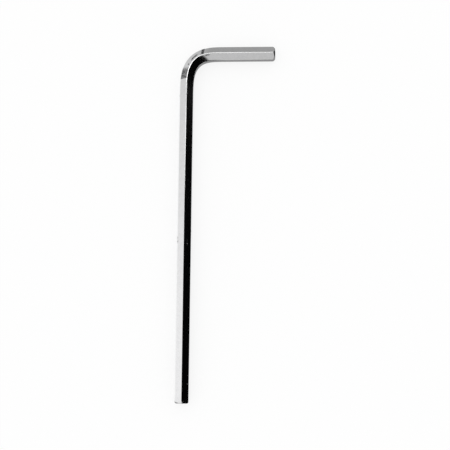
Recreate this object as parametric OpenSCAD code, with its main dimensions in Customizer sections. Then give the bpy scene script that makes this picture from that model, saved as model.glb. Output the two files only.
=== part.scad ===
/* [Bar] */
// Width across the flats of the bar
across_flats = 4; // [3:0.1:5]
// Radius of the rounded edges between the flats
edge_r = 0.3; // [0.15:0.05:0.5]

/* [Arms] */
// Length of the long arm, from its tip to the outer corner where the two arms would meet
long_arm = 105.5; // [70:0.5:150]
// Length of the short arm, from its tip to the same outer corner
short_arm = 28.2; // [20:0.1:45]

/* [Bend] */
// Radius of the bend, to the middle of the bar
bend_r = 8.2; // [7:0.1:12]
// Angle that the bar is turned through, so that 90 would make the arms square
bend_angle = 88.5; // [80:0.5:95]
// Sideways share of the bending strain, which narrows the outside of the bend and widens its inside
side_strain = 0.5; // [0.2:0.05:0.5]
// Length of bar over which the section changes, at each end of the bend
change_length = 3; // [1:0.5:5]

/* [Tips] */
// Width of the turned chamfer at each tip, measured in from the flats
tip_chamfer = 0.5; // [0.2:0.05:0.8]
// Angle between the chamfer and the axis of the arm
chamfer_angle = 45; // [30:1:60]

/* [Hidden] */
// The bar has six edges, and one of them points straight down
edges = 6;
edge_angle = 360 / edges;
half_flats = across_flats / 2;
corner_r = half_flats / cos(edge_angle / 2);
edge_centre_r = corner_r - edge_r / cos(edge_angle / 2);
// Height of the middle of the bar, which lies on the rounded edge below it
axis_z = edge_centre_r + edge_r;
// Straight length of each arm, from its tip to where the bend starts
corner_reach = (bend_r + half_flats) * tan(bend_angle / 2);
long_straight = long_arm - corner_reach;
short_straight = short_arm - corner_reach;
bend_length = bend_r * bend_angle * PI / 180;
// The section changes from half a change length before the bend to half of one inside it
change_half = change_length / 2;
end_face_r = half_flats - tip_chamfer;
chamfer_length = tip_chamfer / tan(chamfer_angle);
// The bent stretch runs on straight past its section change, and each arm's end closes over half of that
run_on = 1;
arm_start = change_half + run_on / 2;
// It is slimmer than the arms all round by this share of its width, so that it lies inside them
slimmer = 0.001;
// The round of each edge stands this much proud of the flats, so that it crosses them cleanly
edge_proud = 0.0001;
// Steps along the bend, along the stretches before and after it, round an edge and across a flat
bend_steps = 36;
change_steps = 5;
edge_steps = 4;
flat_steps = 4;
// Steps round what is turned or truly round
round_steps = 96;

// Places from the middle of the bend's circle: the long arm runs to -Y, the bend turns it towards +X
short_dir = [sin(bend_angle), cos(bend_angle)];
bend_end = [-bend_r * cos(bend_angle), bend_r * sin(bend_angle)];
short_tip = bend_end + short_straight * short_dir;
outer_side = [-cos(bend_angle), sin(bend_angle)];
tip_side = bend_end + (short_straight - chamfer_length) * short_dir + half_flats * outer_side;
left_x = -bend_r - half_flats;
right_x = short_tip[0] + end_face_r * abs(cos(bend_angle));
top_y = max(tip_side[1], bend_r + half_flats);
bottom_y = -long_straight;
// The origin is below the middle of the key's box, on the surface that the key lies on
origin_shift = [-(left_x + right_x) / 2, -(top_y + bottom_y) / 2, axis_z];

// A step from 0 to 1 with level ends
function smooth_step(x) = let (t = min(max(x, 0), 1)) t * t * (3 - 2 * t);

// Curvature of the strained section at a length along the bar, from the start of the bend
function strain_curvature(s) =
    smooth_step((s + change_half) / change_length)
    * smooth_step((bend_length + change_half - s) / change_length) / bend_r;

// Points of the round hexagon: the arc of each edge, then the inner points of the flat after it
function edge_centre(k) = edge_centre_r * [cos(90 - edge_angle * k), sin(90 - edge_angle * k)];
function edge_point(k, i) =
    let (turn = 90 - edge_angle * (k - 0.5 + i / edge_steps))
    edge_centre(k) + edge_r * [cos(turn), sin(turn)];
section = [
    for (k = [0 : edges - 1])
    let (flat_start = edge_point(k, edge_steps), flat_end = edge_point(k + 1, 0))
    each concat(
        [for (i = [0 : edge_steps]) edge_point(k, i)],
        [for (i = [1 : flat_steps - 1]) flat_start + (flat_end - flat_start) * i / flat_steps]
    )
];

// Section under a bending curvature: the fibres outside thin sideways and those inside thicken
function strained(p, curvature) = [
    p[0] - side_strain * curvature / 2 * (p[0] * p[0] - p[1] * p[1]),
    p[1] * (1 - side_strain * curvature * p[0])
];

// Place on the bar of a section point, at a length along it from the start of the bend
function bar_point(p, s) =
    let (
        q = strained(p, strain_curvature(s)),
        turn = min(max(s / bend_length, 0), 1) * bend_angle,
        before = min(s, 0),
        after = max(s - bend_length, 0),
        out = [-cos(turn), sin(turn)],
        ahead = [sin(turn), cos(turn)],
        place = (bend_r + q[0]) * out + (before + after) * ahead
    )
    [place[0], place[1], q[1]];

// Lengths along the bar at which the bent stretch has a ring of points
bend_stations = concat(
    [-change_half - run_on],
    [for (i = [0 : change_steps - 1]) -change_half * (1 - i / change_steps)],
    [for (i = [0 : bend_steps]) bend_length * i / bend_steps],
    [for (i = [1 : change_steps]) bend_length + change_half * i / change_steps],
    [bend_length + change_half + run_on]
);

// Bend swept ring by ring, with a straight end inside each arm
module bent_stretch() {
    ring = len(section);
    last = len(bend_stations) - 1;
    first_middle = ring * len(bend_stations);
    last_middle = first_middle + 1;
    points = concat(
        [for (s = bend_stations) for (p = section) bar_point(p * (1 - slimmer), s)],
        [for (s = [bend_stations[0], bend_stations[last]]) bar_point([0, 0], s)]
    );
    walls = [
        for (j = [0 : last - 1])
        for (i = [0 : ring - 1])
        let (a = j * ring + i, b = j * ring + (i + 1) % ring)
        each [[a, b, b + ring], [a, b + ring, a + ring]]
    ];
    caps = [
        for (i = [0 : ring - 1])
        let (next = (i + 1) % ring)
        each [[next, i, first_middle], [last * ring + i, last * ring + next, last_middle]]
    ];
    polyhedron(points, concat(walls, caps));
}

// Section of the straight arms, with true arcs at its edges
module bar_section() {
    polygon([for (k = [0 : edges - 1]) each [edge_point(k, 0), edge_point(k, edge_steps)]]);
    for (k = [0 : edges - 1])
    translate(edge_centre(k)) circle(r = edge_r + edge_proud, $fn = round_steps);
}

// Straight arm up its own z axis, from its end at the bend to its turned tip
module straight_arm(length) {
    blank_r = 2 * corner_r;
    cone_length = (blank_r - end_face_r) / tan(chamfer_angle);
    turned_blank = [
        [0, -blank_r],
        [blank_r, -blank_r],
        [blank_r, length - cone_length],
        [end_face_r, length],
        [0, length]
    ];
    intersection() {
        linear_extrude(length) bar_section();
        rotate_extrude($fn = round_steps) polygon(turned_blank);
    }
}

module hex_key() {
    color("silver")
    translate(origin_shift) {
        bent_stretch();
        // The long arm points to -Y, and the short one points where the bend ends
        translate([-bend_r, -arm_start, 0])
        rotate([90, 0, 0])
        straight_arm(long_straight - arm_start);
        translate(concat(bend_end + arm_start * short_dir, 0))
        rotate([-90, 0, -bend_angle])
        straight_arm(short_straight - arm_start);
    }
}

hex_key();
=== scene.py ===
"""Looks of a bent hexagonal key: a bright plated steel bar with rounded edges and turned tips.

The bar is one surface of two parameters, the length along the bar and the way round its section.
All sizes are in metres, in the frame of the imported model. Lengths along the bar are counted from
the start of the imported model's bend and are negative on the long arm. Angles round the section
are degrees from the outside of the bend, so that 90 is the side that faces up.
"""

import logging
import math
from dataclasses import dataclass, field
from enum import Enum
from functools import cached_property, reduce

import bpy
import numpy as np
from mathutils import Euler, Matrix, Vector

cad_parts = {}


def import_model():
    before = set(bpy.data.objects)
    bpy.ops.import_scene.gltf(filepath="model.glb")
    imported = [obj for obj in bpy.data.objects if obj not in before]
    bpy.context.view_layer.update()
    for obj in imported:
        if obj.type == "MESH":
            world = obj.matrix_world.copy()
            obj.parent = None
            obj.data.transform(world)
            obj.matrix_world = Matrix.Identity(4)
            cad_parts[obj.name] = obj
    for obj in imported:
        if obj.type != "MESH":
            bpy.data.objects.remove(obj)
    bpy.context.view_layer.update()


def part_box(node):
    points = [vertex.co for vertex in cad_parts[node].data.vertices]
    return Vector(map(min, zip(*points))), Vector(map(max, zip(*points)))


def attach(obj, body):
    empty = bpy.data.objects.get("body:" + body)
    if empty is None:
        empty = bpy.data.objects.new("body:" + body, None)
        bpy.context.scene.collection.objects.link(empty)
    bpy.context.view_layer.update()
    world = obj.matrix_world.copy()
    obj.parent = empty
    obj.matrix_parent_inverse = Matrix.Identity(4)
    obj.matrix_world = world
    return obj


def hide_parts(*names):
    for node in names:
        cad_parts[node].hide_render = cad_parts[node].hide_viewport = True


MM = 0.001
SIDES = 6
SIDE_TURN = 360.0 / SIDES
LOG = logging.getLogger("hex_key")

# A mix node keeps its sockets for colours behind those for numbers and vectors.
MIX_SHARE = 0
MIX_FIRST = 6
MIX_SECOND = 7
MIX_RESULT = 2

Socket = bpy.types.NodeSocket
Pair = tuple[float, float]
Axes = tuple[float, float, float]
Tone = tuple[float, float, float]


def smooth_step(x: np.ndarray) -> np.ndarray:
    """Rises from 0 to 1 with level ends: t squared times (3 less 2 t), for t held in 0 to 1."""
    t = np.clip(x, 0.0, 1.0)
    return t * t * (3.0 - 2.0 * t)


def step_about(x: np.ndarray, middle: np.ndarray | float, width: float) -> np.ndarray:
    """A smooth step from 0 to 1, of the given width about its middle."""
    return smooth_step((x - middle) / width + 0.5)


def plateau(x: np.ndarray, ends: Pair, soft: Pair) -> np.ndarray:
    """1 between two ends and 0 beyond them, with a smooth step inside each end."""
    rise = smooth_step((x - ends[0]) / soft[0])
    return rise * smooth_step((ends[1] - x) / soft[1])


def bump_of(distance: np.ndarray, width: float) -> np.ndarray:
    """A round hill of height 1: one half plus half the cosine, out to its width."""
    t = np.clip(np.abs(distance) / width, 0.0, 1.0)
    return 0.5 + 0.5 * np.cos(math.pi * t)


def opaque(tone: Tone) -> tuple[float, float, float, float]:
    """A tone as a full colour."""
    return (*tone, 1.0)


class Wiring:
    """One finish's nodes, and the few kinds of joint that the finishes are made of."""

    def __init__(self, name: str) -> None:
        """Makes an empty material.

        Args:
            name: The material's name.
        """
        self.material = bpy.data.materials.new(name)
        self.material.use_nodes = True
        self.tree = self.material.node_tree
        self.tree.nodes.clear()

    def node(self, kind: str) -> bpy.types.Node:
        """Adds a node of one kind."""
        return self.tree.nodes.new(kind)

    def feed(self, socket: Socket, value: Socket | float | tuple[float, ...]) -> None:
        """Leads a value to a socket, or sets it there if it is a plain number or colour.

        Args:
            socket: The socket.
            value: The value.
        """
        if isinstance(value, bpy.types.NodeSocket):
            self.tree.links.new(value, socket)
        else:
            socket.default_value = value

    def reading(self, name: str) -> Socket:
        """Reads a value that the mesh's points hold.

        Args:
            name: The value's name on the mesh.

        Returns:
            The value.
        """
        node = self.node("ShaderNodeAttribute")
        node.attribute_name = name
        return node.outputs["Fac"]

    def noise(self, place: Socket, stretch: Axes, scale: float, detail: float) -> Socket:
        """Makes noise on places that are stretched along each axis.

        Args:
            place: The places.
            stretch: Factor along each axis.
            scale: How fine the noise is.
            detail: How many finer layers it has.

        Returns:
            The noise.
        """
        mapping = self.node("ShaderNodeMapping")
        self.feed(mapping.inputs["Scale"], stretch)
        self.feed(mapping.inputs["Vector"], place)
        node = self.node("ShaderNodeTexNoise")
        self.feed(node.inputs["Scale"], scale)
        self.feed(node.inputs["Detail"], detail)
        self.feed(node.inputs["Vector"], mapping.outputs[0])
        return node.outputs["Fac"]

    def ramp(self, value: Socket, source: Pair, target: Pair = (0.0, 1.0)) -> Socket:
        """Carries a value smoothly from one range to another, and holds it at the ends.

        Args:
            value: The value.
            source: The range that it comes from.
            target: The range that it goes to.

        Returns:
            The carried value.
        """
        node = self.node("ShaderNodeMapRange")
        node.interpolation_type = "SMOOTHSTEP"
        self.feed(node.inputs["Value"], value)
        for name, number in zip(("From Min", "From Max", "To Min", "To Max"), source + target):
            self.feed(node.inputs[name], number)
        return node.outputs[0]

    def add(self, *values: Socket) -> Socket:
        """The sum of some values."""
        return reduce(lambda total, value: self._math("ADD", total, value), values)

    def times(self, value: Socket, factor: Socket | float, clamp: bool = False) -> Socket:
        """A value times another one or a number, held between 0 and 1 if asked."""
        return self._math("MULTIPLY", value, factor, clamp)

    def _math(
        self, operation: str, first: Socket, second: Socket | float, clamp: bool = False
    ) -> Socket:
        """Makes one sum or product.

        Args:
            operation: The node's word for what it does.
            first: The first value.
            second: The second value, or a number.
            clamp: Whether the result is held between 0 and 1.

        Returns:
            The result.
        """
        node = self.node("ShaderNodeMath")
        node.operation = operation
        node.use_clamp = clamp
        self.feed(node.inputs[0], first)
        self.feed(node.inputs[1], second)
        return node.outputs[0]

    def blend(self, share: Socket, first: Socket | tuple[float, ...], second: Tone) -> Socket:
        """Turns a colour to a tone by a share.

        Args:
            share: How much of the tone there is, from 0 to 1.
            first: The colour.
            second: The tone.

        Returns:
            The blended colour.
        """
        node = self.node("ShaderNodeMix")
        node.data_type = "RGBA"
        self.feed(node.inputs[MIX_SHARE], share)
        self.feed(node.inputs[MIX_FIRST], first)
        self.feed(node.inputs[MIX_SECOND], opaque(second))
        return node.outputs[MIX_RESULT]

    def mixed(self, share: Socket, first: Socket, second: Socket) -> Socket:
        """Mixes two shaders.

        Args:
            share: The second one's share, from 0 to 1.
            first: The first shader.
            second: The second shader.

        Returns:
            The mixed shader.
        """
        node = self.node("ShaderNodeMixShader")
        for socket, value in zip(node.inputs, (share, first, second)):
            self.feed(socket, value)
        return node.outputs[0]

    def surface(self, shader: Socket) -> bpy.types.Material:
        """Leads a shader to the surface, and gives the finished material."""
        self.feed(self.node("ShaderNodeOutputMaterial").inputs["Surface"], shader)
        return self.material


@dataclass(frozen=True)
class HexSection:
    """The hexagon across the bar, with its edges rounded.

    The section's first axis points out of the bend and its second one up.
    """

    across_flats: float = 4.0 * MM
    edge_radius: float = 0.3 * MM
    edge_steps: int = 10
    flat_steps: int = 12

    @property
    def half_flats(self) -> float:
        """Distance from the bar's middle to a flat."""
        return self.across_flats / 2

    @property
    def edge_centre_radius(self) -> float:
        """Distance from the bar's middle to the middle of an edge's round."""
        return (self.half_flats - self.edge_radius) / math.cos(math.radians(SIDE_TURN / 2))

    def points(self) -> tuple[np.ndarray, np.ndarray]:
        """Walks clockwise round the section from the middle of its lower edge.

        Each edge is an arc of 60 degrees about its centre, and each flat is a straight line from
        the end of one arc to the start of the next.

        Returns:
            The section's points, and for each one whether it lies on an edge, 1 or 0.
        """
        edges = np.radians(-90.0 - SIDE_TURN * np.arange(SIDES))
        sweep = np.radians(np.linspace(SIDE_TURN / 2, -SIDE_TURN / 2, self.edge_steps + 1))
        angles = edges[:, None] + sweep[None, :]
        centres = self.edge_centre_radius * np.stack([np.cos(edges), np.sin(edges)], -1)
        outward = np.stack([np.cos(angles), np.sin(angles)], -1)
        arcs = centres[:, None, :] + self.edge_radius * outward
        starts = arcs[:, -1, :]
        ends = np.roll(arcs[:, 0, :], -1, axis=0)
        share = (np.arange(1, self.flat_steps) / self.flat_steps)[None, :, None]
        flats = starts[:, None, :] + (ends - starts)[:, None, :] * share
        ring = np.concatenate([arcs, flats], axis=1).reshape(-1, 2)
        one_side = np.concatenate([np.ones(self.edge_steps + 1), np.zeros(self.flat_steps - 1)])
        half_arc = self.edge_steps // 2
        return np.roll(ring, -half_arc, axis=0), np.roll(np.tile(one_side, SIDES), -half_arc)


@dataclass(frozen=True)
class BendCurve:
    """The middle line of the bend, point by point.

    Attributes:
        share: Share of the way along the bend.
        turn: Angle turned through, in radians.
        place: Place in the bar's plane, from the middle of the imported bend's circle.
        curvature: Angle turned through for each length.
        end: Length along the bar where the bend meets the short arm.
    """

    share: np.ndarray
    turn: np.ndarray
    place: np.ndarray
    curvature: np.ndarray
    end: float


@dataclass(frozen=True)
class BendPath:
    """The line along the middle of the bar: long arm, bend and short arm, all in one plane.

    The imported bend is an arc. Here the arms and the angle are the same, but the bend has soft
    ends: it starts a little before the arc, ends a little after it and is tightest in its middle.

    Attributes:
        long_arm: Length of the long arm, to the outer corner, as the short arm's.
        bend_radius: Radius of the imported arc, to the middle of the bar.
        start: Length along the bar where the soft bend starts.
        rise: Share of the bend over which it tightens.
        fall: Share of the bend over which it straightens.
        side_strain: How much thinner the bar gets for each share that it is stretched.
    """

    long_arm: float = 105.5 * MM
    short_arm: float = 28.2 * MM
    bend_radius: float = 8.2 * MM
    bend_angle: float = math.radians(88.5)
    start: float = -4.75 * MM
    rise: float = 0.7
    fall: float = 0.5
    side_strain: float = 0.32
    curve_steps: int = 2000

    @property
    def arc_length(self) -> float:
        """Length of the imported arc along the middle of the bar."""
        return self.bend_radius * self.bend_angle

    def packed_ends(self, half_flats: float) -> Pair:
        """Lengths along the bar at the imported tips, each arm less the outer corner's reach."""
        reach = (self.bend_radius + half_flats) * math.tan(self.bend_angle / 2)
        return -(self.long_arm - reach), self.arc_length + self.short_arm - reach

    @cached_property
    def curve(self) -> BendCurve:
        """Works out the bend's middle line.

        The curvature is a smooth step up over the first share of the way times a smooth step down
        over the last one. The turn is its running sum, brought to the bend's angle, and the place
        is the running sum of the direction, drawn out until it ends on the short arm's line.

        Returns:
            The middle line.
        """
        share = np.linspace(0.0, 1.0, self.curve_steps + 1)
        bent = plateau(share, (0.0, 1.0), (self.rise, self.fall))
        turned = self._running_sum(bent)
        turn = self.bend_angle * turned / turned[-1]
        run = self._running_sum(np.stack([np.sin(turn), np.cos(turn)], -1))
        ahead = np.array([math.sin(self.bend_angle), math.cos(self.bend_angle)])
        outward = np.array([-ahead[1], ahead[0]])
        first = np.array([-self.bend_radius, self.start])
        length = (self.bend_radius - first @ outward) / (run[-1] @ outward)
        place = first + length * run
        curvature = self.bend_angle * bent / (length * turned[-1])
        end = self.arc_length + (place[-1] - self.bend_radius * outward) @ ahead
        return BendCurve(share, turn, place, curvature, float(end))

    @staticmethod
    def _running_sum(values: np.ndarray) -> np.ndarray:
        """Sums values over their evenly spaced shares of the way, by the mean of each pair."""
        steps = (values[1:] + values[:-1]) / 2 / (len(values) - 1)
        return np.concatenate([np.zeros_like(values[:1]), np.cumsum(steps, axis=0)])

    def place(self, s: np.ndarray, section: np.ndarray) -> np.ndarray:
        """Carries section points along the bar, with the section strained in the bend.

        Where the bar is bent, a point at distance u outwards and height z moves to
        u less half the strain times (u squared less z squared), and its height shrinks by the
        strain times u. The strain per length is the side strain times the curvature.

        Args:
            s: Length along the bar, for each point.
            section: Section points, one for each length.

        Returns:
            Places in three dimensions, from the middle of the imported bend's circle.
        """
        curve = self.curve
        share = np.clip((s - self.start) / (curve.end - self.start), 0.0, 1.0)
        turn = np.interp(share, curve.share, curve.turn)
        strain = self.side_strain * np.interp(share, curve.share, curve.curvature)
        u, z = section[..., 0], section[..., 1]
        out = u - strain / 2 * (u * u - z * z)
        up = z * (1 - strain * u)
        run = np.minimum(s - self.start, 0.0) + np.maximum(s - curve.end, 0.0)
        middle_x = np.interp(share, curve.share, curve.place[:, 0])
        middle_y = np.interp(share, curve.share, curve.place[:, 1])
        x = middle_x - out * np.cos(turn) + run * np.sin(turn)
        y = middle_y + out * np.sin(turn) + run * np.cos(turn)
        return np.stack([x, y, up], -1)


@dataclass(frozen=True)
class TurnedTip:
    """The cut end of an arm: a flat disc, a cone of chamfer and a small round at each corner.

    Attributes:
        chamfer: Depth of the cone below the flats.
        full_depth: Depth from the end face at which the bar is whole all round.
        pole_gap: Radius of the first row, as a share of the disc's.
        side_steps: Number of steps in each of the cone, the round at the shoulder and the side.
    """

    chamfer: float = 0.32 * MM
    chamfer_angle: float = math.radians(45.0)
    disc_round: float = 0.14 * MM
    shoulder_round: float = 0.06 * MM
    full_depth: float = 1.3 * MM
    pole_gap: float = 0.08
    disc_steps: int = 7
    round_steps: int = 8
    side_steps: int = 5

    def rows(self, radii: np.ndarray, half_flats: float) -> tuple[np.ndarray, np.ndarray]:
        """Depth and radius of each row of the tip, from its middle to where the arm is whole.

        In each direction the tip's outline runs out along the disc, down the cone until it meets
        the bar's side, and on along the side. Both corners are quadratic curves.

        Args:
            radii: Radius of the whole section in each direction.
            half_flats: Distance from the bar's middle to a flat.

        Returns:
            Depths from the end face and radii, each with one row per step and one column per
            direction. The first row lies just off the middle of the disc.
        """
        disc = half_flats - self.chamfer
        slope = 1.0 / math.tan(self.chamfer_angle)
        top = np.stack([np.zeros_like(radii), np.full_like(radii, disc)], -1)
        shoulder = np.stack([(radii - disc) * slope, radii], -1)
        cone = shoulder - top
        cone /= np.linalg.norm(cone, axis=-1, keepdims=True)
        rise = np.array([0.0, 1.0])
        along = np.array([1.0, 0.0])
        inner, outer = self.disc_round, self.shoulder_round
        whole = np.stack([np.full_like(radii, self.full_depth), radii], -1)
        middle = np.stack([np.zeros_like(radii), np.full_like(radii, disc * self.pole_gap)], -1)
        lines = [
            self._line(middle, top - inner * rise, self.disc_steps),
            self._curve(top - inner * rise, top, top + inner * cone, self.round_steps),
            self._line(top + inner * cone, shoulder - outer * cone, self.side_steps)[1:],
            self._curve(
                shoulder - outer * cone, shoulder, shoulder + outer * along, self.side_steps
            ),
            self._line(shoulder + outer * along, whole, self.side_steps)[1:],
        ]
        rows = np.concatenate(lines)
        return rows[..., 0], rows[..., 1]

    @staticmethod
    def _line(start: np.ndarray, end: np.ndarray, steps: int) -> np.ndarray:
        """Points on a straight line between two rows, without its last point."""
        t = (np.arange(steps) / steps)[:, None, None]
        return start[None] + (end - start)[None] * t

    @staticmethod
    def _curve(start: np.ndarray, corner: np.ndarray, end: np.ndarray, steps: int) -> np.ndarray:
        """Points on the quadratic curve that a corner pulls, with both its ends."""
        t = np.linspace(0.0, 1.0, steps + 1)[:, None, None]
        return (1 - t) ** 2 * start[None] + 2 * t * (1 - t) * corner[None] + t * t * end[None]


@dataclass(frozen=True)
class SurfaceMark:
    """A nick, a burr or a scuff: a small hill or dent in the bar's surface, or a dull spot on it.

    Attributes:
        along: Length along the bar at the mark's middle.
        length: Distance along the bar from its middle to its end.
        toward: Angle round the section at its middle.
        spread: Angle from its middle to its side.
        depth: Height of the hill, negative for a dent and nothing for a spot.
        dull: How dull it is, from 0 to 1. On a nick it also paints the spot near black, a painted
            dark reflection.
    """

    along: float
    length: float
    toward: float
    spread: float
    depth: float = 0.0
    dull: float = 0.7

    def hill(self, s: np.ndarray, angle: np.ndarray) -> np.ndarray:
        """The mark's strength, from 0 to 1: a hill along the bar times a hill round it."""
        turn = (angle - self.toward + 180.0) % 360.0 - 180.0
        return bump_of(s - self.along, self.length) * bump_of(turn, self.spread)


@dataclass(frozen=True)
class ToolMark:
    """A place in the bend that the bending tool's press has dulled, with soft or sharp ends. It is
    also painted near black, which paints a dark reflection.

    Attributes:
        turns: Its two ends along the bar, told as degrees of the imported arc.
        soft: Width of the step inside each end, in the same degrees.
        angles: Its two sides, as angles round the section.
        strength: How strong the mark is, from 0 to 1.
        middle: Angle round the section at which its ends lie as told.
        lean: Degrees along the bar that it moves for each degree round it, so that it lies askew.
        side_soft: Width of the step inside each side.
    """

    turns: Pair
    soft: Pair
    angles: Pair
    strength: float = 1.0
    middle: float = 60.0
    lean: float = 0.0
    side_soft: float = 4.0

    def press(self, turn: np.ndarray, angle: np.ndarray) -> np.ndarray:
        """The mark's strength: smooth steps up and down along the bend, times the same round it.

        Args:
            turn: Length along the bar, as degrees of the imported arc.
            angle: Angle round the section.

        Returns:
            The strength at each point, from 0 to 1.
        """
        along = plateau(turn - self.lean * (angle - self.middle), self.turns, self.soft)
        across = plateau(angle, self.angles, (self.side_soft, self.side_soft))
        return self.strength * along * across


class BendMarkPaintedDark(Enum):
    """The marks that the bending tool has left, all on the side that faces up, each also painted
    near black as a painted dark reflection.
    """

    HOLDER_PATCH = ToolMark((0.2, 25.5), (1.0, 8.0), (29.0, 89.0), 0.9, middle=40.0, lean=0.045)
    PUNCH_LINE = ToolMark((63.8, 70.8), (1.4, 1.4), (26.0, 88.0), middle=58.0, lean=-0.09)
    DRAG_STREAK = ToolMark((41.0, 58.0), (1.6, 4.0), (58.0, 77.0), middle=66.0, lean=-0.3)
    SPOT = ToolMark((29.2, 33.0), (1.2, 1.2), (61.0, 79.0))
    EDGE_TAIL = ToolMark((69.0, 82.0), (2.0, 6.0), (96.0, 108.0))


class Grain(Enum):
    """The four noises of the plating, each with its stretch, its scale and its detail.

    The cloud and the mottle lie in space. The streaks and the hairs lie in the bar's own map,
    where they are drawn out along the bar.
    """

    CLOUD = ((1.0, 1.0, 1.0), 900.0, 3.0)
    MOTTLE = ((1.0, 1.0, 1.0), 2600.0, 2.0)
    STREAK = ((230.0, 9.0, 1.0), 1.0, 4.0)
    HAIR = ((700.0, 40.0, 1.0), 1.0, 2.0)


@dataclass(frozen=True)
class PlatedSteel:
    """Bright nickel-like plating over drawn steel, lightly scratched, with marks of the tools that
    are also painted near black as a painted dark reflection.

    A range is the stretch of a noise over which something changes. Names in rough say what is
    added to the roughness, and names in height say what is added to the bump.
    """

    slot: str = "plated_steel"
    tone: Tone = (0.83, 0.83, 0.835)
    deep_tone: Tone = (0.80, 0.80, 0.805)
    worn_tone: Tone = (0.90, 0.90, 0.90)
    painted_dark_reflection_tone: Tone = (0.045, 0.045, 0.047)
    edge_share: float = 0.7
    cloud_range: Pair = (0.35, 0.6)
    blotch_range: Pair = (0.38, 0.6)
    blotch_share: Pair = (0.72, 1.0)
    streak_range: Pair = (0.3, 0.75)
    streak_rough: Pair = (0.08, 0.13)
    hair_range: Pair = (0.6, 0.75)
    hair_rough: float = 0.06
    pressed_rough: float = 0.25
    cut_rough: float = 0.05
    scuffed_rough: float = 0.4
    streak_height: float = 0.6
    hair_height: float = 0.25
    cloud_height: float = 0.2
    mottle_height: float = 6.0
    bump_strength: float = 0.35
    bump_depth: float = 0.004 * MM

    def material(self) -> bpy.types.Material:
        """Builds the finish as nodes.

        Returns:
            The finished material.
        """
        wiring = Wiring(self.slot)
        space = wiring.node("ShaderNodeTexCoord").outputs["Object"]
        bar_map = wiring.node("ShaderNodeUVMap")
        bar_map.uv_map = "bar"
        girth = bar_map.outputs[0]
        cloud = wiring.noise(space, *Grain.CLOUD.value)
        mottle = wiring.noise(space, *Grain.MOTTLE.value)
        streak = wiring.noise(girth, *Grain.STREAK.value)
        hair = wiring.noise(girth, *Grain.HAIR.value)
        # Tool marks and nicks: they add roughness and bumps, and below they are painted near black
        # as a painted dark reflection.
        marks_painted_dark = wiring.reading("marks_painted_dark")
        mottled_marks_painted_dark = wiring.times(marks_painted_dark, wiring.ramp(mottle, self.blotch_range, self.blotch_share))
        height = wiring.add(
            wiring.times(streak, self.streak_height),
            wiring.times(hair, self.hair_height),
            wiring.times(cloud, self.cloud_height),
            wiring.times(marks_painted_dark, wiring.times(mottle, self.mottle_height)),
        )
        bump = wiring.node("ShaderNodeBump")
        wiring.feed(bump.inputs["Strength"], self.bump_strength)
        wiring.feed(bump.inputs["Distance"], self.bump_depth)
        wiring.feed(bump.inputs["Height"], height)
        shader = wiring.node("ShaderNodeBsdfPrincipled")
        wiring.feed(shader.inputs["Metallic"], 1.0)
        wiring.feed(shader.inputs["Base Color"], self._colour(wiring, cloud, mottled_marks_painted_dark))
        wiring.feed(shader.inputs["Roughness"], self._roughness(wiring, streak, hair, mottled_marks_painted_dark))
        wiring.feed(shader.inputs["Normal"], bump.outputs[0])
        return wiring.surface(shader.outputs[0])

    def _colour(self, wiring: Wiring, cloud: Socket, mottled_marks_painted_dark: Socket) -> Socket:
        """The plating's colour: clouded, paler on the edges, and near black on the marks, which is
        a painted dark reflection.

        Args:
            wiring: The finish's nodes.
            cloud: The cloud.
            mottled_marks_painted_dark: How far each place is marked, and so how far it is painted
                near black.

        Returns:
            The colour.
        """
        plating = wiring.blend(
            wiring.ramp(cloud, self.cloud_range), opaque(self.deep_tone), self.tone
        )
        worn = wiring.times(wiring.reading("edge_wear"), self.edge_share)
        # Painted dark reflection: near black where the marks lie.
        return wiring.blend(mottled_marks_painted_dark, wiring.blend(worn, plating, self.worn_tone), self.painted_dark_reflection_tone)

    def _roughness(self, wiring: Wiring, streak: Socket, hair: Socket, mottled_marks_painted_dark: Socket) -> Socket:
        """The plating's roughness: the sum of what its streaks, hairs and marks each add.

        Args:
            wiring: The finish's nodes.
            streak: The streaks.
            hair: The hairs.
            mottled_marks_painted_dark: How far each place is marked.

        Returns:
            The roughness.
        """
        return wiring.add(
            wiring.ramp(streak, self.streak_range, self.streak_rough),
            wiring.ramp(hair, self.hair_range, (0.0, self.hair_rough)),
            wiring.times(mottled_marks_painted_dark, self.pressed_rough),
            wiring.times(wiring.reading("cut_end"), self.cut_rough),
            wiring.times(wiring.reading("scuffed"), self.scuffed_rough),
        )


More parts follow.
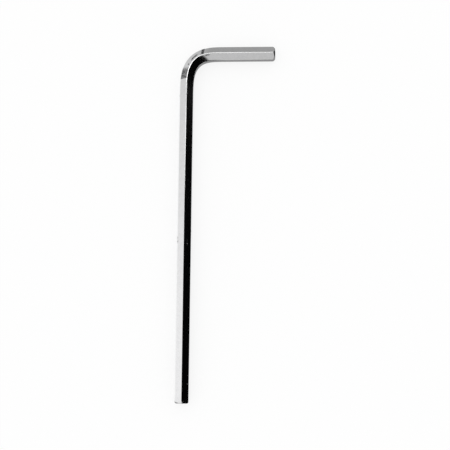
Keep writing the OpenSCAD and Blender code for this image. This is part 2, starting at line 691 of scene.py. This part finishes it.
@dataclass
class HexKey:
    """The key's bar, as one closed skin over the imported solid.

    Attributes:
        arm_step: Distance between rows on the arms, as the others in the bend and at a mark.
        grain: Distance of which each whole row's length along the bar is a whole number.
        tip_extra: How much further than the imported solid's each tip runs.
    """

    node: str = "hex_key"
    section: HexSection = field(default_factory=HexSection)
    path: BendPath = field(default_factory=BendPath)
    tip: TurnedTip = field(default_factory=TurnedTip)
    arm_step: float = 0.6 * MM
    bend_step: float = 0.12 * MM
    mark_step: float = 0.1 * MM
    grain: float = 0.02 * MM
    tip_extra: float = 0.07 * MM
    # A nick's dullness also paints it near black, a painted dark reflection.
    nicks: tuple[SurfaceMark, ...] = (
        SurfaceMark(-47.2 * MM, 0.3 * MM, 29.0, 9.0, depth=-0.02 * MM, dull=1.0),
        SurfaceMark(-47.6 * MM, 0.35 * MM, 27.0, 10.0, depth=0.11 * MM, dull=0.5),
        SurfaceMark(-48.5 * MM, 1.2 * MM, 27.0, 12.0, depth=0.13 * MM, dull=0.0),
        SurfaceMark(-45.3 * MM, 0.35 * MM, 152.0, 8.0, depth=0.07 * MM),
        SurfaceMark(-4.9 * MM, 0.4 * MM, 27.0, 7.0, depth=0.05 * MM),
    )
    scuffs: tuple[SurfaceMark, ...] = (
        SurfaceMark(-49.1 * MM, 0.55 * MM, 120.0, 10.0, dull=0.7),
        SurfaceMark(-48.4 * MM, 0.9 * MM, 116.0, 7.0, dull=0.5),
        SurfaceMark(-90.0 * MM, 0.35 * MM, 141.0, 9.0, dull=0.9),
    )

    @property
    def ends(self) -> Pair:
        """Lengths along the bar at the long tip and the short tip."""
        long_end, short_end = self.path.packed_ends(self.section.half_flats)
        return long_end - self.tip_extra, short_end + self.tip_extra

    def build(self) -> bpy.types.Object:
        """Makes the skin, row by row from the long tip round the bend to the short tip.

        Returns:
            The key as a mesh object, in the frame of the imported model.
        """
        ring, on_edge = self.section.points()
        radii = np.linalg.norm(ring, axis=-1)
        s, scale, in_tip = self._rows(radii)
        section = ring[None] * scale[..., None]
        angle = np.degrees(np.arctan2(ring[:, 1], ring[:, 0]))[None]
        lift = sum(mark.depth * mark.hill(s, angle) for mark in self.nicks)
        section = section * (1 + lift / np.linalg.norm(section, axis=-1))[..., None]
        points = self.path.place(s, section).reshape(-1, 3)
        poles = self.path.place(np.array(self.ends), np.zeros((2, 2)))
        mesh = self._mesh(np.concatenate([points, poles]) + self._shift(), *s.shape)
        below = (np.max(radii) - np.linalg.norm(section, axis=-1)) / self.tip.chamfer
        self._attribute(mesh, "cut_end", np.clip(below, 0, 1) * in_tip, 1.0)
        self._attribute(mesh, "edge_wear", np.repeat(on_edge[None], len(s), axis=0))
        # Tool marks and nicks: roughness and bumps, and painted near black as a painted dark
        # reflection.
        self._attribute(mesh, "marks_painted_dark", self.marks_painted_dark(s, angle))
        self._attribute(mesh, "scuffed", self.scuffed(s, angle))
        self._uv(mesh, s)
        return bpy.data.objects.new("key_bar", mesh)

    def marks_painted_dark(self, s: np.ndarray, angle: np.ndarray) -> np.ndarray:
        """Where tools and knocks have dulled the bar, and where it is painted near black as a
        painted dark reflection: the strongest mark at each point.

        Args:
            s: Length along the bar.
            angle: Angle round the section.

        Returns:
            The strength of the marks at each point, from 0 to 1.
        """
        turn = s / self.path.arc_length * math.degrees(self.path.bend_angle)
        tools = [mark.value.press(turn, angle) for mark in BendMarkPaintedDark]
        knocks = [mark.dull * mark.hill(s, angle) for mark in self.nicks]
        return np.maximum.reduce(tools + knocks)

    def scuffed(self, s: np.ndarray, angle: np.ndarray) -> np.ndarray:
        """Where the bar is scuffed: the strongest scuff at each point, from 0 to 1."""
        return np.maximum.reduce([mark.dull * mark.hill(s, angle) for mark in self.scuffs])

    def _rows(self, radii: np.ndarray) -> tuple[np.ndarray, np.ndarray, np.ndarray]:
        """Lays out all rows: the long tip's, the whole ones and the short tip's.

        Args:
            radii: Radius of the whole section in each direction.

        Returns:
            For each point its length along the bar and its radius as a share of the whole
            section's, and for each row whether it belongs to a tip, 1 or 0.
        """
        first, last = self.ends
        depth, radius = self.tip.rows(radii, self.section.half_flats)
        size = radius / radii
        whole = self._stations(first + self.tip.full_depth, last - self.tip.full_depth)
        rings = np.repeat(whole[:, None], len(radii), axis=1)
        s = np.concatenate([first + depth, rings, (last - depth)[::-1]])
        scale = np.concatenate([size, np.ones_like(rings), size[::-1]])
        tip_row = np.ones((len(depth), 1))
        return s, scale, np.concatenate([tip_row, np.zeros((len(whole), 1)), tip_row])

    def _stations(self, first: float, last: float) -> np.ndarray:
        """Lengths along the bar of its whole rings, close together in the bend and at each mark.

        They are whole numbers of grains, so that no two rings lie closer than one grain.

        Args:
            first: Length along the bar of the first whole ring.
            last: Length along the bar of the last one.

        Returns:
            The rings' lengths along the bar, in rising order.
        """
        before, after = self.path.start, self.path.curve.end
        runs = [
            np.linspace(first, before, round((before - first) / self.arm_step) + 1),
            np.linspace(before, after, round((after - before) / self.bend_step) + 1),
            np.linspace(after, last, round((last - after) / self.arm_step) + 1),
        ]
        for mark in self.nicks + self.scuffs:
            steps = round(2 * mark.length / self.mark_step) + 1
            runs.append(mark.along + np.linspace(-mark.length, mark.length, steps))
        return np.unique(np.round(np.concatenate(runs) / self.grain)) * self.grain

    def _shift(self) -> np.ndarray:
        """The way from the middle of the bend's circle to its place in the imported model.

        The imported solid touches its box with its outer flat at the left, with its long tip at
        the near side, and with an edge above and below.

        Returns:
            The way along each axis.
        """
        low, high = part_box(self.node)
        half = self.section.half_flats
        long_end = self.path.packed_ends(half)[0]
        return np.array(
            [low[0] + half + self.path.bend_radius, low[1] - long_end, (low[2] + high[2]) / 2]
        )

    def _mesh(self, vertices: np.ndarray, rows: int, columns: int) -> bpy.types.Mesh:
        """Joins the rows by four-sided faces and closes each tip by a fan about its pole.

        Args:
            vertices: All rows of points, row by row, then the long pole and the short pole.
            rows: How many rows there are.
            columns: How many points each row has.

        Returns:
            The closed mesh, with its faces outwards and shaded smooth.
        """
        column = np.arange(columns)
        after = (column + 1) % columns
        start = (np.arange(rows - 1) * columns)[:, None]
        next_start = start + columns
        quads = np.stack(
            [start + column, start + after, next_start + after, next_start + column], -1
        )
        long_pole = rows * columns
        last = (rows - 1) * columns
        long_fan = np.stack([np.full(columns, long_pole), after, column], -1)
        short_fan = np.stack([np.full(columns, long_pole + 1), last + column, last + after], -1)
        faces = quads.reshape(-1, 4).tolist() + long_fan.tolist() + short_fan.tolist()
        mesh = bpy.data.meshes.new("key_bar")
        mesh.from_pydata(vertices.tolist(), [], faces)
        mesh.validate()
        mesh.shade_smooth()
        return mesh

    @staticmethod
    def _attribute(mesh: bpy.types.Mesh, name: str, values: np.ndarray, pole: float = 0.0) -> None:
        """Gives each point of the mesh a value, and both poles the value named pole."""
        data = np.concatenate([values.reshape(-1), [pole, pole]]).astype(np.float32)
        mesh.attributes.new(name, "FLOAT", "POINT").data.foreach_set("value", data)

    def _uv(self, mesh: bpy.types.Mesh, s: np.ndarray) -> None:
        """Maps the skin: across is the way round the bar and up is the length along it.

        A face that closes a ring has corners at both sides of the map, so those at its left side
        go on past its right one.

        Args:
            mesh: The skin.
            s: Length along the bar of each point, in rows and columns.
        """
        rows, columns = s.shape
        first, last = self.ends
        way = np.repeat((np.arange(columns) / columns)[None], rows, axis=0)
        up = (s - first) / (last - first)
        point_uv = np.stack([way.reshape(-1), up.reshape(-1)], -1)
        point_uv = np.concatenate([point_uv, [[0.5, 0.0], [0.5, 1.0]]])
        corner = np.empty(len(mesh.loops), dtype=np.int64)
        mesh.loops.foreach_get("vertex_index", corner)
        uv = point_uv[corner]
        starts = np.empty(len(mesh.polygons), dtype=np.int64)
        totals = np.empty(len(mesh.polygons), dtype=np.int64)
        mesh.polygons.foreach_get("loop_start", starts)
        mesh.polygons.foreach_get("loop_total", totals)
        side = 0.1
        closes_ring = np.repeat(np.maximum.reduceat(uv[:, 0], starts) > 1 - side, totals)
        uv[closes_ring & (uv[:, 0] < side) & (corner < rows * columns), 0] += 1.0
        layer = mesh.uv_layers.new(name="bar")
        layer.data.foreach_set("uv", uv.astype(np.float32).reshape(-1))

    def dress(self, piece: bpy.types.Object, finish: PlatedSteel) -> None:
        """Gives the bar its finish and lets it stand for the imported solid.

        Args:
            piece: The bar's mesh object.
            finish: The plating.
        """
        bpy.context.scene.collection.objects.link(piece)
        piece.data.materials.append(finish.material())
        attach(piece, "root")
        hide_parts(self.node)
        LOG.info("%s: %d faces, finish %s", piece.name, len(piece.data.polygons), finish.slot)


@dataclass(frozen=True)
class PaleFloor:
    """The floor's finish: matte white, and lifted towards white where it is seen.

    Attributes:
        tone: Grey of the matte floor.
        lift: How far the floor is lifted, which leaves the rest to the key's shadow.
    """

    tone: float = 0.96
    lift: float = 0.8

    def material(self) -> bpy.types.Material:
        """Builds the finish as nodes: matte for the light, and lifted for the eye and mirrors.

        Returns:
            The finished material.
        """
        wiring = Wiring("pale_floor")
        matte = wiring.node("ShaderNodeBsdfDiffuse")
        wiring.feed(matte.inputs["Color"], opaque((self.tone, self.tone, self.tone)))
        white = wiring.node("ShaderNodeEmission")
        path = wiring.node("ShaderNodeLightPath").outputs
        seen = wiring.add(
            path["Is Camera Ray"], path["Is Glossy Ray"], path["Is Transmission Ray"]
        )
        share = wiring.times(seen, self.lift, clamp=True)
        return wiring.surface(wiring.mixed(share, matte.outputs[0], white.outputs[0]))


@dataclass(frozen=True)
class ReflectedSheet:
    """A glowing sheet of the studio that only reflections see."""

    name: str
    unseen_by: tuple[str, ...] = ("camera", "diffuse", "shadow", "transmission", "volume_scatter")

    def build(self, points: np.ndarray, glow: np.ndarray, cover: np.ndarray) -> None:
        """Makes the sheet and stands it in the studio.

        Args:
            points: Rows and columns of places.
            glow: Brightness of each place.
            cover: How much each place hides what is behind it, from 0 to 1.
        """
        rows, columns = glow.shape
        start = (np.arange(rows - 1) * columns)[:, None] + np.arange(columns - 1)[None]
        quads = np.stack([start, start + columns, start + columns + 1, start + 1], -1)
        mesh = bpy.data.meshes.new(self.name)
        mesh.from_pydata(points.reshape(-1, 3).tolist(), [], quads.reshape(-1, 4).tolist())
        for kind, values in (("glow", glow), ("cover", cover)):
            data = mesh.attributes.new(kind, "FLOAT", "POINT").data
            data.foreach_set("value", values.reshape(-1).astype(np.float32))
        mesh.materials.append(self.material())
        sheet = bpy.data.objects.new(self.name, mesh)
        for ray in self.unseen_by:
            setattr(sheet, f"visible_{ray}", False)
        bpy.context.scene.collection.objects.link(sheet)

    def material(self) -> bpy.types.Material:
        """Builds the finish as nodes: the glow where the sheet covers, and clear elsewhere.

        Returns:
            The finished material.
        """
        wiring = Wiring(self.name)
        light = wiring.node("ShaderNodeEmission")
        wiring.feed(light.inputs["Strength"], wiring.reading("glow"))
        clear = wiring.node("ShaderNodeBsdfTransparent").outputs[0]
        return wiring.surface(wiring.mixed(wiring.reading("cover"), clear, light.outputs[0]))


@dataclass(frozen=True)
class WallTone:
    """The light tent's wall in one direction.

    Attributes:
        azimuth: The direction, in degrees from +X towards +Y.
        glow: How brightly the wall glows.
        top: How high the wall is, in degrees above the floor.
    """

    azimuth: float
    glow: float
    top: float


@dataclass(frozen=True)
class DarkCard:
    """A black card in the tent, which gives the bright metal its dark side.

    Its outline is told by the direction in which the key sees it: for each share of the way up
    the picture, how far to the right the card starts.
    """

    outline: tuple[Pair, ...] = (
        (-1.0, 0.06),
        (-0.9, 0.12),
        (-0.81, 0.16),
        (-0.73, 0.22),
        (-0.66, 0.24),
        (-0.56, 0.27),
        (-0.37, 0.34),
        (-0.25, 0.22),
        (-0.16, 0.0),
        (-0.10, -0.25),
        (0.0, -0.32),
        (0.03, -0.4),
        (0.06, -0.55),
        (0.09, -0.65),
        (0.15, -0.68),
        (0.175, -0.5),
        (0.192, -0.3),
        (0.205, -0.2),
        (0.22, -0.1),
        (0.235, 0.05),
        (0.25, 0.35),
        (0.27, 0.65),
        (0.3, 0.72),
        (0.5, 0.75),
        (1.0, 0.80),
    )
    soft: float = 0.05
    low_glow: float = 0.001
    high_glow: float = 0.0095
    high_from: float = 0.229
    high_fade: float = 0.014

    def glow(self, up: np.ndarray) -> np.ndarray:
        """How brightly the card glows: nearly black, and a little paler high up the picture."""
        rise = step_about(up, self.high_from, self.high_fade)
        return self.low_glow + (self.high_glow - self.low_glow) * rise

    def cover(self, right: np.ndarray, up: np.ndarray) -> np.ndarray:
        """How much of the tent the card hides to the right of its edge, read from its outline."""
        edge = np.interp(up, *np.array(self.outline).T)
        return step_about(right, edge, self.soft)


@dataclass(frozen=True)
class PaintedFloorShadow:
    """A painted shadow that only reflections see, lying on the floor inside the key's angle and
    beyond it.

    Names in left and until are places along X, and names in from, to and at are places along Y,
    as is the short arm's. A fade is the width of a smooth step.

    Attributes:
        crowding: Power by which the places on the floor crowd near the key.
        edge_room: How far the sheet runs on past its left edge.
        notch_sharpness: Share by which the step at the dark part is narrower in its notch.
    """

    left: float = -12.1 * MM
    left_above: float = -7.0 * MM
    short_arm: float = 51.0 * MM
    reach: float = 600.0 * MM
    steps: int = 160
    crowding: float = 2.2
    edge_fade: float = 1.0 * MM
    edge_room: float = 2.0 * MM
    strip_steps: int = 40
    dark_glow: float = 0.003
    grey_glow: float = 0.3
    grey_from: float = 43.5 * MM
    grey_fade: float = 2.5 * MM
    grey_until: float = 24.0 * MM
    card_fade: float = 12.0 * MM
    pale_glow: float = 0.7
    pale_left: float = -4.0 * MM
    pale_fade: float = 4.0 * MM
    pale_from: float = 0.0
    tip_left: float = -24.0 * MM
    tip_glow: float = 0.35
    tip_from: float = -63.5 * MM
    tip_to: float = -53.3 * MM
    notch_at: float = 52.5 * MM
    notch_half: float = 3.5 * MM
    notch_until: float = 15.5 * MM
    notch_sharpness: float = 0.8

    def places(self) -> tuple[np.ndarray, np.ndarray]:
        """Lays out places on the floor, with an even strip at their left.

        The others crowd near the key: each lies at a power of its even share of the reach.

        Returns:
            The places along X and along Y, in rows and columns.
        """
        away = self.reach * np.linspace(0.0, 1.0, self.steps) ** self.crowding
        first = self.left - self.edge_room
        strip = np.linspace(
            self.tip_left - self.edge_room, first - self.edge_fade, self.strip_steps
        )
        return np.meshgrid(
            np.concatenate([strip, first + away]), np.concatenate([-away[:0:-1], away])
        )

    def tone(self, x: np.ndarray, y: np.ndarray) -> tuple[np.ndarray, np.ndarray]:
        """Glow and cover of the painted shadow at each place on the floor.

        It is dark along the long arm and at the right, grey close to the short arm and pale in
        the middle of the angle, with smooth steps between. It starts under the long arm, and
        further to the right beyond the short arm. Just below the long arm's tip a grey strip of
        it reaches further to the left. In line with the short arm the dark part comes close to
        its tip as a notch.

        Args:
            x: Places along X.
            y: Places along Y.

        Returns:
            The glow, and the cover from 0 to 1.
        """
        near_short = smooth_step((y - self.grey_from) / self.grey_fade)
        notch = bump_of(y - self.notch_at, self.notch_half)
        until = self.grey_until + (self.notch_until - self.grey_until) * notch
        fade = self.card_fade * (1 - self.notch_sharpness * notch)
        near_card = smooth_step((x - until) / fade)
        inside = smooth_step((x - self.pale_left) / self.pale_fade) * smooth_step(
            (y - self.pale_from) / self.card_fade
        )
        glow = self.dark_glow + (self.pale_glow - self.dark_glow) * inside
        glow = glow + (self.grey_glow - glow) * near_short
        glow = glow + (self.dark_glow - glow) * near_card
        glow = np.where(x < self.left - self.edge_fade, self.tip_glow, glow)
        left = np.where(y > self.short_arm, self.left_above, self.left)
        left = np.where((y > self.tip_from) & (y < self.tip_to), self.tip_left, left)
        return glow, step_about(x, left, self.edge_fade)


@dataclass
class LightTent:
    """The plain soft studio: a pale floor, an even white world and a tent seen in reflections.

    Attributes:
        lowest: Degrees above the floor of the tent's lowest row.
        highest: Degrees above the floor of its highest row, which leaves its pole open.
        wall_fade: Degrees over which the wall gives way to the roof.
        roof: For each share of the way up the picture, how brightly the roof glows there.
    """

    floor_size: float = 6.0
    floor_drop: float = 0.02 * MM
    radius: float = 1.5
    azimuth_step: float = 1.5
    elevation_step: float = 0.5
    lowest: float = -3.0
    highest: float = 89.9
    wall_fade: float = 9.0
    roof: tuple[Pair, ...] = (
        (-1.0, 0.95),
        (0.0, 0.78),
        (0.172, 0.74),
        (0.19, 2.2),
        (0.222, 2.2),
        (0.235, 0.5),
        (0.26, 0.5),
        (0.278, 3.0),
        (0.47, 3.0),
        (0.52, 0.95),
        (1.0, 0.9),
    )
    walls: tuple[WallTone, ...] = (
        WallTone(-180.0, 1.0, 36.0),
        WallTone(-120.0, 0.78, 52.0),
        WallTone(-95.0, 0.62, 60.0),
        WallTone(-60.0, 0.6, 60.0),
        WallTone(0.0, 0.6, 50.0),
        WallTone(60.0, 0.45, 30.0),
        WallTone(95.0, 0.37, 28.0),
        WallTone(112.0, 0.6, 32.0),
        WallTone(140.0, 0.7, 34.0),
        WallTone(165.0, 0.76, 36.0),
        WallTone(176.0, 0.98, 36.0),
        WallTone(180.0, 1.0, 36.0),
    )
    finish: PaleFloor = field(default_factory=PaleFloor)
    card: DarkCard = field(default_factory=DarkCard)
    # A painted shadow on the floor, seen only in reflections.
    floor_shadow: PaintedFloorShadow = field(default_factory=PaintedFloorShadow)

    def build(self) -> None:
        """Makes the world's light, the floor, the tent, and the painted shadow on the floor that
        only reflections see.
        """
        self._world()
        self._floor()
        self._tent()
        self._paint_floor_shadow()
        LOG.info("studio: world, floor, tent and card")

    def glow(self, azimuth: np.ndarray, elevation: np.ndarray) -> np.ndarray:
        """Brightness of the tent in each direction.

        The wall's tone and height are read between the named directions. Above its top the wall
        gives way with a smooth step to the roof, whose tone is read between the named shares of
        the way up the picture. Both give way to the dark card.

        Args:
            azimuth: Degrees from +X towards +Y.
            elevation: Degrees above the floor.

        Returns:
            The brightness, where 1 is white.
        """
        turns = [w.azimuth for w in self.walls]
        wall = np.interp(azimuth, turns, [w.glow for w in self.walls])
        top = np.interp(azimuth, turns, [w.top for w in self.walls])
        level = np.cos(np.radians(elevation))
        right, up = level * np.cos(np.radians(azimuth)), level * np.sin(np.radians(azimuth))
        roof = np.interp(up, *np.array(self.roof).T)
        tone = wall + (roof - wall) * smooth_step((elevation - top) / self.wall_fade)
        return tone + (self.card.glow(up) - tone) * self.card.cover(right, up)

    def _world(self) -> None:
        """An even white light from all round."""
        world = bpy.data.worlds.new("studio")
        world.use_nodes = True
        shader = world.node_tree.nodes["Background"]
        shader.inputs["Color"].default_value = opaque((1.0, 1.0, 1.0))
        shader.inputs["Strength"].default_value = 1.0
        bpy.context.scene.world = world

    def _floor(self) -> None:
        """A wide pale floor just under the key."""
        half = self.floor_size / 2
        outline = [(-half, -half), (half, -half), (half, half), (-half, half)]
        mesh = bpy.data.meshes.new("floor")
        mesh.from_pydata([(x, y, -self.floor_drop) for x, y in outline], [], [(0, 1, 2, 3)])
        mesh.materials.append(self.finish.material())
        floor = bpy.data.objects.new("floor", mesh)
        bpy.context.scene.collection.objects.link(floor)

    def _tent(self) -> None:
        """A dome about the key, with its brightness held by its points."""
        azimuth, elevation = np.meshgrid(
            np.arange(-180.0, 180.0 + self.azimuth_step / 2, self.azimuth_step),
            np.arange(self.lowest, 90.0 + self.elevation_step / 2, self.elevation_step),
        )
        a, e = np.radians(azimuth), np.radians(np.minimum(elevation, self.highest))
        level = np.cos(e)
        points = self.radius * np.stack([np.cos(a) * level, np.sin(a) * level, np.sin(e)], -1)
        glow = self.glow(azimuth, elevation)
        ReflectedSheet("light_tent").build(points, glow, np.ones_like(glow))

    def _paint_floor_shadow(self) -> None:
        """The painted floor shadow, flat on the floor just under the key."""
        x, y = self.floor_shadow.places()
        glow, cover = self.floor_shadow.tone(x, y)
        points = np.stack([x, y, np.full_like(x, -self.floor_drop / 2)], -1)
        # Painted shadow: a dark sheet on the floor that only reflections see, standing for the
        # key's shade.
        ReflectedSheet("painted_floor_shadow").build(points, glow, cover)


@dataclass(frozen=True)
class PhotoCamera:
    """The camera above the key, set so that its picture has the photograph's view.

    The tilt is in degrees about X, Y and Z, the focal length in pixels of the picture, and the
    sensor's width in millimetres.
    """

    place: Axes = (-8.751 * MM, -53.093 * MM, 414.81 * MM)
    tilt: Axes = (7.2127, -1.2846, 0.7266)
    focal_px: float = 1409.7
    picture_px: float = 450.0
    sensor: float = 36.0
    near: float = 0.01
    far: float = 20.0

    def build(self) -> None:
        """Makes the camera the scene's own."""
        data = bpy.data.cameras.new("photo_camera")
        data.sensor_width = self.sensor
        data.lens = self.focal_px / self.picture_px * self.sensor
        data.clip_start = self.near
        data.clip_end = self.far
        camera = bpy.data.objects.new("photo_camera", data)
        camera.location = Vector(self.place)
        camera.rotation_euler = Euler([math.radians(angle) for angle in self.tilt], "XYZ")
        bpy.context.scene.collection.objects.link(camera)
        bpy.context.scene.camera = camera
        LOG.info("camera: lens %.1f mm", data.lens)


def main() -> None:
    """Builds the camera, the studio and the key."""
    logging.basicConfig(level=logging.INFO, format="%(name)s: %(message)s")
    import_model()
    bpy.context.scene.view_settings.view_transform = "Standard"
    PhotoCamera().build()
    LightTent().build()
    key = HexKey()
    key.dress(key.build(), PlatedSteel())


if __name__ == "__main__":
    main()
